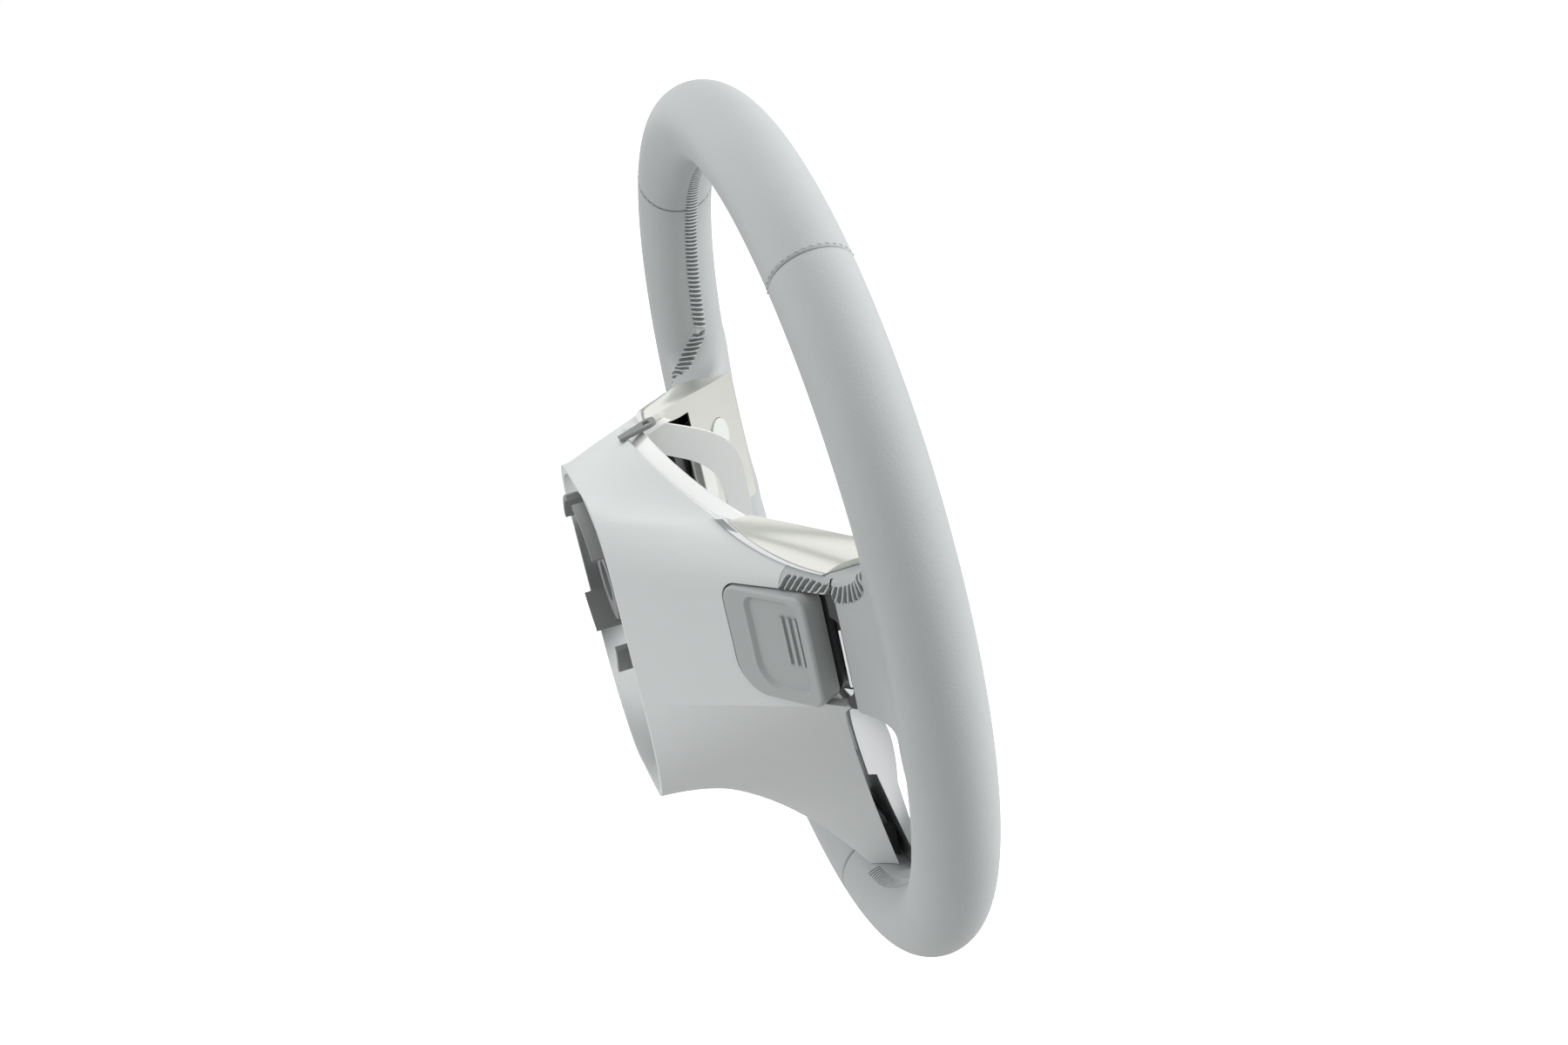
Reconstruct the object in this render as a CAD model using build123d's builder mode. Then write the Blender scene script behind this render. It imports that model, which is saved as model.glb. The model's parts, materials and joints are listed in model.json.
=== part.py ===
"""Car steering wheel: leather rim, two side spokes, one broad lower spoke and an open hub."""

import os
from math import atan2, cos, degrees, radians, sin, tan

from build123d import *

os.makedirs("parts", exist_ok=True)

# Frame: the origin is the rear mouth of the shaft bore, +Y points down the steering column,
# -Y to the driver and +Z to 12 o'clock. Depths are counted from the rim plane along +Y.

# Rim
rim_radius = 176.0
rim_thickness = 34.0
leather_thickness = 1.3
seam_angle = 50.0
seam_gap = 0.5
rim_bar_radius = 6.0
rim_clearance = 0.4

# Hub and armature casting
hub_depth = 88.0
plate_front = 60.0
plate_thickness = 6.0
plate_half_width = 70.0
plate_top = 22.0
plate_bottom = 42.0
plate_corner = 14.0
boss_radius = 17.0
bore_radius = 9.0
arm_thickness = 5.0
arm_half_height = 15.0
lower_arm_half_width = 16.0
lower_arm_thickness = 6.0
airbag_hole_spacing = 100.0
airbag_hole_radius = 3.3

# Leather spoke roots, from inside the rim to the end of the sleeve
root_reach = 40.0
root_end = rim_radius - root_reach
root_back = 26.5
root_height = 58.0
root_middle = 2.0
root_depth = 27.0
root_corner = 5.0
root_flare = 14.0

foam_foot_half_width = 20.0
foam_foot_depth = 10.0
foam_foot_middle = -3.0
foam_foot_reach = 14.0

# Rear cover: outline at the column opening and at its mouth, ahead of the rim plane
cover_depth = 91.0
mouth_depth = -16.0
cover_wall = 2.5
opening_half_width = 50.0
opening_top = 46.0
opening_bottom = 94.0
opening_knee = 24.0
opening_shoulder = 18.0
opening_crease = 37.0
opening_foot = 18.0
mouth_top = 99.0
mouth_bottom = rim_radius + 28.0
mouth_knee = 158.0
mouth_knee_height = 30.0
mouth_shoulder = 29.0
mouth_crease = 14.5
mouth_foot = 22.5
opening_bow_height = 69.0
opening_hip = 36.0
mouth_bow = 134.0
mouth_bow_height = 20.0
mouth_hip = 91.0
mouth_hip_height = 78.0
belly_rise = 30.0
belly_skew = 0.15
spoke_gap = 0.5
spoke_end = root_end - spoke_gap
side_angle = degrees(atan2(cover_depth - root_back, root_end - opening_half_width))

# Front edge of the rear cover, as depth and height
lip_depth = 70.0
lip_height = 66.0
edge_bend_depth = 50.0
edge_bend_height = 33.0
spoke_edge_depth = 24.0
spoke_edge_top = 31.0
spoke_edge_bottom = 33.0
foot_edge_depth = -2.0
foot_edge_height = rim_radius - 25.0

# Chrome strips and the frame inside the lip
strip_width = 2.4
strip_proud = 0.7
joint_gap = 0.1
strip_lead = 6.0
frame_wall = 2.4
frame_reach = 8.0
frame_grip = 12.0
frame_bottom = 24.0
cheek_width = 11.0
cheek_top = 44.5
cheek_top_depth = 54.0
cheek_front = 5.6
cheek_sweep_depth = 22.0
cheek_sweep = 27.0
cheek_bend = 3.0
cheek_bottom = 27.0

# Bezels: a flat face that leans into the hub
face_angle = 38.66
face_overhang = 4.0
face_edge_x = root_end + face_overhang
face_edge_depth = -12.6
bezel_reach = 58.0
bezel_start = root_end - bezel_reach
strip_start = bezel_start - strip_lead
frame_half_width = bezel_start - joint_gap
bezel_bottom = 31.0
bezel_round = 9.0
fillet_tries = 20
bezel_wall_end = 46.0

# Lower trim
trim_step = 0.8
trim_wall = 2.5
trim_top_depth = 19.0
trim_waist_depth = -1.0
trim_gap = 2.0
trim_notch_height = 88.0
trim_notch = 3.0
trim_face_depth = 3.0
trim_face_foot = -12.0
trim_foot_gap = 7.5
cavity_half_width = bezel_start
cavity_foot_half_width = 40.0
cavity_bottom = 94.0
cavity_corner = 18.0
cavity_drop = 4.0

# Shift rockers on the back of the spokes
rocker_inset = 21.8
rocker_x = root_end - rocker_inset
rocker_z = 0.5
rocker_width = 44.0
rocker_height = 46.0
rocker_corner = 7.0
rocker_low_corner = 14.0
rocker_end_corner = 5.0
rocker_low = 1.0
rocker_high = 6.0
rocker_skirt = 5.0
rocker_gap = 0.8
rocker_round = 1.4
dish_width = 28.0
dish_height = 39.0
dish_x = 3.5
dish_z = 0.8
dish_corner = 5.0
dish_low_corner = 11.0
rocker_dish = 1.6
dish_taper = 40.0
rocker_wall = 2.4
rocker_roof = 1.6
rib_length = 20.5
rib_width = 1.6
rib_height = 1.2
rib_pitch = 3.7
rib_x = 11.6
rib_z = 3.7
rocker_press = 3.5
pin_radius = 1.5
pin_x = -16.5
pin_z = -4.6
pin_clearance = 0.05
pin_boss = 2.5
pin_inset = 5.0
lug_width = 5.0
lug_thickness = 3.0
lug_spacing = 21.0
lug_gap = 0.5
base_gap = 0.4
base_thickness = 2.0
base_margin = 1.5
switch_length = 12.8
switch_width = 6.0
switch_height = 3.0
switch_x = 8.0
plunger_radius = 1.2
plunger_height = 0.5

# Dark slot between each shift rocker and the leather, with a bright bead, and the leather tongue above it
slot_x = 27.0
slot_z = -3.5
slot_width = 10.0
slot_height = 34.0
slot_depth = 7.0
bead_radius = 0.6
bead_drop = 1.0
bead_gap = 0.1
tongue_reach = 16.0
tongue_end = root_end - tongue_reach
tongue_bottom = 24.5
tongue_backing = 3.0
tongue_gap = 0.3
tongue_overlap = 3.0

# Keys, mat and switch board behind each bezel face
keys_inset = 28.0
keys_x = root_end - keys_inset
button_diameter = 17.0
button_x = -11.5
button_z = -1.7
button_pitch = 21.0
menu_key_x = 9.0
menu_key_width = 11.0
menu_key_height = 34.0
key_clearance = 0.3
key_proud = 1.0
key_round = 0.6
key_flange = 0.8
key_flange_rim = 1.2
key_flange_gap = 0.1
key_travel = 1.0
key_post_radius = 2.2
key_post_end = 5.2
mat_gap = 0.4
mat_thickness = 0.8
collar_wall = 0.8
collar_gap = 0.6
collar_height = 1.4
board_thickness = 1.2
board_width = 48.0
board_height = 44.0
board_boss_x = -2.5
board_boss_z = 19.5
board_boss_radius = 2.2

# Screws
screw_radius = 1.1
screw_head_radius = 2.2
screw_head_height = 1.4
screw_bite = 3.0
screw_clearance = 0.2
thread_clearance = 0.05
post_radius = 4.0
post_x = 61.0
post_upper = 10.0
post_lower = 30.0
base_screw_x = 26.0
base_screw_z = 19.0

# Collar at the column opening and the tab on the lip
collar_radius = 40.0
collar_ring_wall = 2.5
collar_ring_end = 72.0
lug_end = 95.0
upper_lug_start = 100.0
upper_lug_sweep = 45.0
lower_lug_start = 205.0
lower_lug_sweep = 27.0
tab_setback = 2.0
tab_lift = 0.75
tab_slope = 0.25
tab_length = 17.0
tab_root_width = 5.0
tab_head_width = 10.0
tab_thickness = 1.5
tab_eye_length = 5.0
tab_eye_width = 3.0
tab_eye_inset = 4.0
tab_corner = 3.0

far = 260.0


def at(depth):
    """Y of a depth behind the rim plane."""
    return depth - hub_depth


def side_depth(x):
    """Depth of the rear cover's slanted side at a distance from the centre line."""
    return cover_depth - (x - opening_half_width) * tan(radians(side_angle))


def face_depth(x):
    """Depth of the bezel face at a distance from the centre line."""
    return face_edge_depth + (face_edge_x - x) * tan(radians(face_angle))


def between(start, end, t):
    """Value a share t of the way from start to end."""
    return start + (end - start) * t


def flared_body(inset, overrun=0.0):
    """Solid inside the flared skin that cover, strips, bezels and trim are cut from."""
    length = cover_depth - mouth_depth
    mouth_half_width = opening_half_width + length / tan(radians(side_angle))
    with BuildPart() as body:
        for t in (-overrun, 1 / 3, 2 / 3, 1 + overrun):
            side = between(opening_half_width, mouth_half_width, t) - inset / sin(radians(side_angle))
            top = between(opening_top, mouth_top, t) - inset
            knee = between(opening_knee, mouth_knee, t) - inset
            knee_height = between(opening_top, mouth_knee_height, t) - inset
            shoulder = between(opening_shoulder, mouth_shoulder, t) - inset
            crease = inset - between(opening_crease, mouth_crease, t)
            foot = between(opening_foot, mouth_foot, t) - inset / 2
            sag = 4 * belly_rise * t * (1 - t) * (1 + belly_skew * (2 * t - 1))
            bottom = inset + sag - between(opening_bottom, mouth_bottom, t)
            bow_x = between(opening_half_width, mouth_bow, t) - inset
            bow_z = inset - between(opening_bow_height, mouth_bow_height, t)
            hip_x = between(opening_hip, mouth_hip, t) - inset
            hip_z = inset - between(opening_bottom, mouth_hip_height, t)
            with BuildSketch(Plane.XZ.offset(-at(between(cover_depth, mouth_depth, t)))):
                with BuildLine():
                    Bezier((0, top), (-knee * 0.45, top), (-knee * 0.7, knee_height), (-knee, knee_height))
                    Bezier(
                        (-knee, knee_height),
                        (-between(knee, side, 0.55), knee_height),
                        (-side, between(shoulder, knee_height, 0.55)),
                        (-side, shoulder),
                    )
                    Line((-side, shoulder), (-side, crease))
                    Bezier((-side, crease), (-bow_x, bow_z), (-hip_x, hip_z), (-foot, bottom))
                    Line((-foot, bottom), (0, bottom))
                    mirror(about=Plane.YZ)
                make_face()
        loft()
    return body.part


def ahead_of_edge(shift):
    """Region on the driver's side of the cover's front edge, moved forward by shift."""
    lean = (lip_depth - edge_bend_depth) / (lip_height - edge_bend_height)
    slope = (spoke_edge_depth - foot_edge_depth) / (foot_edge_height - spoke_edge_bottom)
    lip = (at(lip_depth - shift), lip_height)
    spoke = (at(spoke_edge_depth - shift), spoke_edge_top)
    with BuildPart() as region:
        with BuildSketch(Plane.YZ):
            with BuildLine():
                Bezier(lip, (at(edge_bend_depth - shift), edge_bend_height), spoke)
                Polyline(
                    spoke,
                    (at(spoke_edge_depth - shift), -spoke_edge_bottom),
                    (at(spoke_edge_depth - shift - slope * (far - spoke_edge_bottom)), -far),
                    (-2 * far, -far),
                    (-2 * far, far),
                    (at(lip_depth - shift + lean * (far - lip_height)), far),
                    lip,
                )
            make_face()
        extrude(amount=far, both=True)
    return region.part


def ahead_of_face(shift):
    """Region on the driver's side of both bezel faces, moved back into the spokes by shift."""
    with BuildPart() as region:
        with BuildSketch(Plane.XY):
            with BuildLine():
                Polyline(
                    (0, at(face_depth(0) + shift)),
                    (-far, at(face_depth(far) + shift)),
                    (-far, -2 * far),
                    (0, -2 * far),
                )
                mirror(about=Plane.YZ)
            make_face()
        extrude(amount=far, both=True)
    return region.part


def rim_clearance_ring():
    """Rim with the clearance that the cover and the lower trim keep from the leather."""
    with BuildPart() as ring:
        with BuildSketch(Plane.XY):
            with Locations((rim_radius, at(0))):
                Circle(rim_thickness / 2 + rim_clearance)
        revolve(axis=Axis.Y)
    return ring.part


def rim_disc():
    """Cylinder that ends in the middle of the rim."""
    with BuildPart() as disc:
        with BuildSketch(Plane.XZ.offset(far)):
            Circle(rim_radius - rim_bar_radius)
        extrude(amount=-2 * far)
    return disc.part


def spoke_root(inset):
    """Flared sleeve of the left side spoke, from inside the rim to the end of the leather."""
    inside = rim_radius - rim_thickness / 4
    back_end = side_depth(root_end)
    with BuildPart() as root:
        for t in (0, 0.35, 0.65, 1):
            x = between(inside, root_end, t)
            flare = root_flare * (1 - t) ** 2
            depth = between(rim_thickness * 0.74, root_depth, t)
            middle = between(0, back_end - root_depth / 2, t**2)
            with BuildSketch(Plane.YZ.offset(-x)):
                with Locations((at(middle), root_middle)):
                    RectangleRounded(
                        depth - 2 * inset, root_height + 2 * flare - 2 * inset, root_corner - inset
                    )
        loft()
    return root.part


def rim_form(inset):
    """Rim and both spoke roots, a distance inside the surface of the leather."""
    root = spoke_root(inset)
    with BuildPart() as form:
        with BuildSketch(Plane.XY):
            with Locations((rim_radius, at(0))):
                Circle(rim_thickness / 2 - inset)
        revolve(axis=Axis.Y)
        add(root)
        mirror(root, about=Plane.YZ)
    return form.part


def rocker_outline(width, height, corner, low_corner, end_corner):
    """Rounded rectangle whose lower corner on the hub side is the roundest."""
    with BuildSketch() as outline:
        Rectangle(width, height)
        fillet(outline.vertices().group_by(Axis.X)[-1], end_corner)
        fillet(outline.vertices().group_by(Axis.X)[0].sort_by(Axis.Y)[0], low_corner)
        fillet(outline.vertices().group_by(Axis.X)[0].sort_by(Axis.Y)[-1], corner)
    return outline.sketch


def rocker_plan(margin):
    """Outline of the shift rocker, grown by a margin."""
    return rocker_outline(
        rocker_width + 2 * margin,
        rocker_height + 2 * margin,
        rocker_corner + margin,
        rocker_low_corner + margin,
        rocker_end_corner + margin,
    )


def key_outline(width, height):
    """Round or tall key outline in the current sketch."""
    if width == height:
        Circle(width / 2)
    else:
        SlotOverall(height, width, rotation=90)


def screw(place, length):
    """Pan-head screw whose head sits on place and whose shank runs along its -Z."""
    with BuildPart() as part:
        with BuildSketch(place):
            Circle(screw_head_radius)
        extrude(amount=screw_head_height)
        with BuildSketch(place):
            Circle(screw_radius)
        extrude(amount=-length)
        fillet(part.edges().group_by(Axis(place.origin, place.z_dir))[-1], screw_head_height * 0.6)
    return part.part


def write(part, name):
    """Label a finished piece and write it."""
    part.label = name
    export_step(part, f"parts/{name}.step")


outer_skin = flared_body(0)
inner_skin = flared_body(cover_wall, overrun=0.06)
rim_guard = rim_clearance_ring()
inside_rim = rim_disc()
edge_region = ahead_of_edge(0)


def region_box(x_low, x_high, z_low, z_high):
    """Block right through the wheel along Y between two X and two Z limits."""
    with BuildPart() as block:
        with Locations(((x_low + x_high) / 2, 0, (z_low + z_high) / 2)):
            Box(x_high - x_low, 2 * far, z_high - z_low)
    return block.part


# Planes of the left spoke: the shift rocker on its back and the bezel face on its front
side_turn = radians(side_angle)
rocker_plane = Plane(
    origin=(-rocker_x, at(side_depth(rocker_x)), rocker_z),
    x_dir=(-cos(side_turn), -sin(side_turn), 0),
    z_dir=(-sin(side_turn), cos(side_turn), 0),
)
rocker_profile_plane = Plane(rocker_plane.origin, x_dir=rocker_plane.x_dir, z_dir=-rocker_plane.y_dir)
pin_plane = Plane(
    rocker_plane.from_local_coords(Vector(pin_x, 0, pin_z)),
    x_dir=rocker_plane.x_dir,
    z_dir=rocker_plane.y_dir,
)
face_turn = radians(face_angle)
face_plane = Plane(
    origin=(-keys_x, at(face_depth(keys_x)), 0),
    x_dir=(cos(face_turn), sin(face_turn), 0),
    z_dir=(sin(face_turn), -cos(face_turn), 0),
)

# Heights in those planes, counted outwards from the face of the cover or the bezel
press_turn = radians(rocker_press)
rocker_drop = (rocker_width / 2 - pin_x) * sin(press_turn)
base_top = -(rocker_skirt + rocker_drop + base_gap)
base_back = base_top - base_thickness
plunger_top = base_top + switch_height + plunger_height
foot_end = plunger_top + (switch_x - pin_x) * sin(press_turn) + base_gap / 2
mat_top = -(key_post_end + key_travel + mat_gap)
board_front = mat_top - mat_thickness
board_back = board_front - board_thickness
keys = {
    "upper_button": (button_x, button_z + button_pitch / 2, button_diameter, button_diameter),
    "lower_button": (button_x, button_z - button_pitch / 2, button_diameter, button_diameter),
    "menu_key": (menu_key_x, button_z, menu_key_width, menu_key_height),
}
board_bosses = [(board_boss_x, button_z + board_boss_z), (board_boss_x, button_z - board_boss_z)]
base_screw_places = [(-base_screw_x, -base_screw_z), (-base_screw_x, base_screw_z)]
base_start = -base_screw_x - screw_head_radius - base_margin
arm_bend = rocker_x + base_start * cos(side_turn) - arm_thickness
post_places = [(x, z) for x in (-post_x, post_x) for z in (post_upper, -post_lower)]


def arm_depth(x):
    """Depth midway between the switch board and the rocker base."""
    return (face_depth(x) - board_back / cos(face_turn) + side_depth(x) + base_back / cos(side_turn)) / 2


# Die-cast armature: rim bar, arms, hub plate and bored boss
plate_middle = plate_front + plate_thickness / 2
lower_arm_line = [
    (at(plate_middle), -boss_radius),
    (at(plate_middle), -plate_bottom),
    (at(plate_middle / 2), -between(plate_bottom, rim_radius, 0.42)),
    (at(foam_foot_middle), -(rim_radius - rim_thickness)),
    (at(0), -rim_radius),
]
with BuildPart() as armature:
    with BuildSketch(Plane.XY):
        with Locations((rim_radius, at(0))):
            Circle(rim_bar_radius)
    revolve(axis=Axis.Y)
    with BuildSketch(Plane.XY.offset(root_middle)):
        with BuildLine():
            FilletPolyline(
                (rim_radius, at(0)),
                (rim_radius - rim_thickness * 0.6, at(0)),
                (root_end - 4, at(arm_depth(root_end - 4))),
                (arm_bend, at(arm_depth(arm_bend))),
                (plate_half_width, at(plate_middle)),
                (boss_radius, at(plate_middle)),
                radius=arm_thickness * 1.5,
            )
        trace(line_width=arm_thickness)
        mirror(about=Plane.YZ)
    extrude(amount=arm_half_height, both=True)
    with BuildSketch(Plane.YZ):
        with BuildLine():
            FilletPolyline(*lower_arm_line, radius=lower_arm_thickness * 1.5)
        trace(line_width=lower_arm_thickness)
    extrude(amount=lower_arm_half_width, both=True)
    with BuildSketch(Plane.XZ.offset(-at(plate_front))):
        with Locations((0, (plate_top - plate_bottom) / 2)):
            RectangleRounded(2 * plate_half_width, plate_top + plate_bottom, plate_corner)
    extrude(amount=-plate_thickness)
    with BuildSketch(Plane.XZ.offset(-at(plate_front))):
        Circle(boss_radius)
    extrude(amount=plate_front - hub_depth)
    with BuildSketch(Plane.XZ.offset(-at(plate_front) + plate_thickness)):
        Circle(bore_radius)
        with GridLocations(airbag_hole_spacing, 0, 2, 1):
            Circle(airbag_hole_radius)
        with Locations(*post_places):
            Circle(screw_radius + screw_clearance)
    extrude(amount=-far, mode=Mode.SUBTRACT)

# Slot beside the shift rocker and the leather tongue above it
with BuildPart() as rocker_slot:
    with BuildSketch(rocker_plane):
        with Locations((slot_x, slot_z)):
            SlotOverall(slot_height, slot_width, rotation=90)
    extrude(amount=slot_depth, both=True)


def tongue(inset):
    """Tongue of the left spoke root along the top of the spoke, a distance inside the skin."""
    zone = region_box(-root_end - tongue_overlap, -tongue_end, tongue_bottom, far)
    skin = flared_body(inset)
    core = flared_body(leather_thickness + tongue_backing, overrun=0.06)
    with BuildPart() as part:
        add(skin)
        add(core, mode=Mode.SUBTRACT)
        add(edge_region, mode=Mode.SUBTRACT)
        add(zone, mode=Mode.INTERSECT)
    return part.part


def leather_form(inset):
    """Rim form with the tongues, less the slots beside the rockers."""
    rim = rim_form(inset)
    left_tongue = tongue(inset)
    with BuildPart() as form:
        add(rim)
        add(left_tongue)
        mirror(left_tongue, about=Plane.YZ)
        add(rocker_slot.part, mode=Mode.SUBTRACT)
        mirror(rocker_slot.part, about=Plane.YZ, mode=Mode.SUBTRACT)
    return form.part


# Foam round the rim bar, the spoke roots and the foot of the lower arm
outer_form = leather_form(0)
inner_form = leather_form(leather_thickness)
with BuildPart() as foam_foot:
    with Locations((0, at(foam_foot_middle), -(rim_radius - rim_thickness / 2))):
        Box(2 * foam_foot_half_width, foam_foot_depth, 2 * foam_foot_reach)
with BuildPart() as rim_foam:
    add(inner_form)
    add(foam_foot.part)
    add(armature.part, mode=Mode.SUBTRACT)

# Leather in three panels, parted at the seams and open for the foot of the lower arm
with BuildPart() as leather:
    add(outer_form)
    add(inner_form, mode=Mode.SUBTRACT)
    add(foam_foot.part, mode=Mode.SUBTRACT)
    with Locations(Plane.XZ.offset(hub_depth)):
        for angle in (seam_angle, 180 - seam_angle, 270):
            with PolarLocations(rim_radius, 1, start_angle=angle):
                Box(1.1 * rim_thickness, seam_gap, 1.1 * rim_thickness, mode=Mode.SUBTRACT)
with BuildPart() as leather_left:
    add(leather.solids().sort_by(Axis.X)[0])
with BuildPart() as leather_right:
    add(leather.solids().sort_by(Axis.X)[-1])
with BuildPart() as leather_top:
    add(leather.solids().sort_by(Axis.Z)[-1])

# Rear cover: flared shell, cut back at its front edge, with windows, posts and screw bosses
window_plan = rocker_plan(rocker_gap)
with BuildPart() as rocker_window:
    with BuildSketch(rocker_plane):
        add(window_plan)
        with Locations((rocker_width / 2, 0)):
            Rectangle(rocker_width, rocker_height + 2 * rocker_gap)
    extrude(amount=-base_back, both=True)
tongue_notch = region_box(-far, -tongue_end + tongue_gap, tongue_bottom - tongue_gap, far)
with BuildPart() as base_bosses:
    with BuildSketch(rocker_plane.offset(base_top)):
        with Locations(*base_screw_places):
            Circle(screw_head_radius)
            Circle(screw_radius + thread_clearance, mode=Mode.SUBTRACT)
    extrude(amount=-base_top - cover_wall / 2)
with BuildPart() as cover_posts:
    with BuildSketch(Plane.XZ.offset(-at(plate_front + plate_thickness))):
        with Locations(*post_places):
            Circle(post_radius)
    extrude(amount=plate_front + plate_thickness - cover_depth)
    add(outer_skin, mode=Mode.INTERSECT)
with BuildPart() as rear_cover:
    add(outer_skin)
    add(inner_skin, mode=Mode.SUBTRACT)
    add(cover_posts.part)
    add(edge_region, mode=Mode.SUBTRACT)
    add(region_box(-spoke_end, spoke_end, -far, far), mode=Mode.INTERSECT)
    add(rim_guard, mode=Mode.SUBTRACT)
    add(inside_rim, mode=Mode.INTERSECT)
    for cut in (rocker_window.part, tongue_notch):
        add(cut, mode=Mode.SUBTRACT)
        mirror(cut, about=Plane.YZ, mode=Mode.SUBTRACT)
    add(base_bosses.part)
    mirror(base_bosses.part, about=Plane.YZ)
    with BuildSketch(Plane.XZ.offset(-at(plate_front + plate_thickness))):
        with Locations(*post_places):
            Circle(screw_radius + thread_clearance)
    extrude(amount=-screw_bite - thread_clearance, mode=Mode.SUBTRACT)

# Chrome strip on the front edge of the cover, from the hub lip to the end of the spoke
with BuildPart() as left_chrome_strip:
    add(flared_body(-strip_proud))
    add(inner_skin, mode=Mode.SUBTRACT)
    add(ahead_of_edge(joint_gap), mode=Mode.INTERSECT)
    add(ahead_of_edge(joint_gap + strip_width), mode=Mode.SUBTRACT)
    add(region_box(-spoke_end, -strip_start, frame_bottom, far), mode=Mode.INTERSECT)

# Bright frame that lines the hub lip and runs down both sides of the airbag opening
lined_skin = flared_body(cover_wall + joint_gap)
with BuildPart() as cheek:
    with BuildSketch(Plane.YZ.offset(-frame_half_width)):
        with BuildLine():
            for drop in (0, cheek_width):
                Bezier(
                    (at(cheek_top_depth + drop), cheek_top - drop),
                    (at(cheek_sweep_depth + drop), cheek_sweep - drop),
                    (at(cheek_front + drop), cheek_sweep - drop),
                    (at(cheek_front + drop), cheek_bend - drop),
                )
                Line((at(cheek_front + drop), cheek_bend - drop), (at(cheek_front + drop), -cheek_bottom))
            Line((at(cheek_front), -cheek_bottom), (at(cheek_front + cheek_width), -cheek_bottom))
            Line((at(cheek_top_depth), cheek_top), (at(cheek_top_depth + cheek_width), cheek_top - cheek_width))
        make_face()
    extrude(amount=frame_wall)
    add(lined_skin, mode=Mode.INTERSECT)
with BuildPart() as airbag_frame:
    add(lined_skin)
    add(flared_body(cover_wall + joint_gap + frame_wall, overrun=0.06), mode=Mode.SUBTRACT)
    add(ahead_of_edge(-frame_grip), mode=Mode.INTERSECT)
    add(ahead_of_edge(frame_reach), mode=Mode.SUBTRACT)
    add(region_box(-frame_half_width, frame_half_width, frame_bottom, far), mode=Mode.INTERSECT)
    add(cheek.part)
    mirror(cheek.part, about=Plane.YZ)

# Left bezel: skin ahead of the strip, a leaning face with key holes, and a wall towards the hub
hub_wall_end = -bezel_start - cover_wall
bezel_wall_depth = cover_wall / cos(face_turn)
face_region = ahead_of_face(0)
behind_face_region = ahead_of_face(bezel_wall_depth)
with BuildPart() as bezel_body:
    add(outer_skin)
    add(ahead_of_edge(2 * joint_gap + strip_width), mode=Mode.INTERSECT)
    add(face_region, mode=Mode.SUBTRACT)
    add(region_box(-spoke_end, -bezel_start, -bezel_bottom, far), mode=Mode.INTERSECT)
    bezel_face = bezel_body.faces().sort_by(Axis(face_plane.origin, face_plane.z_dir))[-1]
    bezel_crest = bezel_face.edges().sort_by(Axis.Z)[-1]
    crest_room = bezel_body.part.max_fillet([bezel_crest], max_iterations=fillet_tries)
    fillet(bezel_crest, min(bezel_round, crest_room))
with BuildPart() as bezel_plate:
    add(lined_skin)
    add(behind_face_region, mode=Mode.INTERSECT)
    add(bezel_body.part, mode=Mode.INTERSECT)
with BuildPart() as bezel_core:
    add(inner_skin)
    add(behind_face_region, mode=Mode.SUBTRACT)
    add(region_box(-far, hub_wall_end, -far, far), mode=Mode.INTERSECT)
with BuildPart() as bezel_hub_wall:
    add(lined_skin)
    add(bezel_body.part, mode=Mode.INTERSECT)
    with Locations((-bezel_start - cover_wall / 2, at(bezel_wall_end - far), far - bezel_bottom)):
        Box(cover_wall, 2 * far, 2 * far, mode=Mode.INTERSECT)
with BuildPart() as left_bezel:
    add(bezel_body.part)
    add(region_box(-far, far, 0, far), mode=Mode.INTERSECT)
    add(bezel_core.part, mode=Mode.SUBTRACT)
    add(bezel_plate.part)
    add(bezel_hub_wall.part)
    with BuildSketch(face_plane.offset(board_front)):
        with Locations(*board_bosses):
            Circle(board_boss_radius)
    extrude(amount=-board_front - cover_wall / 2)
    with BuildSketch(face_plane.offset(board_front)):
        with Locations(*board_bosses):
            Circle(screw_radius + thread_clearance)
    extrude(amount=screw_bite + thread_clearance, mode=Mode.SUBTRACT)
    for x, z, width, height in keys.values():
        with BuildSketch(face_plane):
            with Locations((x, z)):
                key_outline(width + 2 * key_clearance, height + 2 * key_clearance)
        extrude(amount=2 * cover_wall, both=True, mode=Mode.SUBTRACT)

# Lower trim: front of the lower spoke, a shell with a notched back edge
edge_slope = (spoke_edge_depth - foot_edge_depth) / (foot_edge_height - spoke_edge_bottom)
notch_depth = spoke_edge_depth - trim_gap - edge_slope * (trim_notch_height - spoke_edge_bottom)


def behind_trim_face(shift):
    """Region on the column side of the lower trim's face, moved back by shift."""
    top = -bezel_bottom - joint_gap - shift
    waist = (at(trim_waist_depth + shift), -cavity_bottom)
    with BuildPart() as region:
        with BuildSketch(Plane.YZ):
            with BuildLine():
                Bezier((at(trim_top_depth + shift), top), (at(trim_face_depth + shift), top - bezel_round), waist)
                Polyline(
                    waist,
                    (at(trim_face_foot + shift), -foot_edge_height),
                    (at(trim_face_foot + shift), -far),
                    (far, -far),
                    (far, top),
                    (at(trim_top_depth + shift), top),
                )
            make_face()
        extrude(amount=far, both=True)
    return region.part


def cavity_prism(margin):
    """Open space of the hub between the bezels and the lower trim, right through the wheel."""
    with BuildPart() as prism:
        with BuildSketch(Plane.XZ.offset(far)) as outline:
            with BuildLine():
                Polyline(
                    (0, far),
                    (-cavity_half_width - margin, far),
                    (-cavity_half_width - margin, -bezel_bottom - cavity_drop),
                    (-cavity_foot_half_width - margin, -cavity_bottom - margin),
                    (0, -cavity_bottom - margin),
                )
                mirror(about=Plane.YZ)
            make_face()
            fillet(outline.vertices().group_by(Axis.Y)[0], cavity_corner)
        extrude(amount=-2 * far)
    return prism.part


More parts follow.
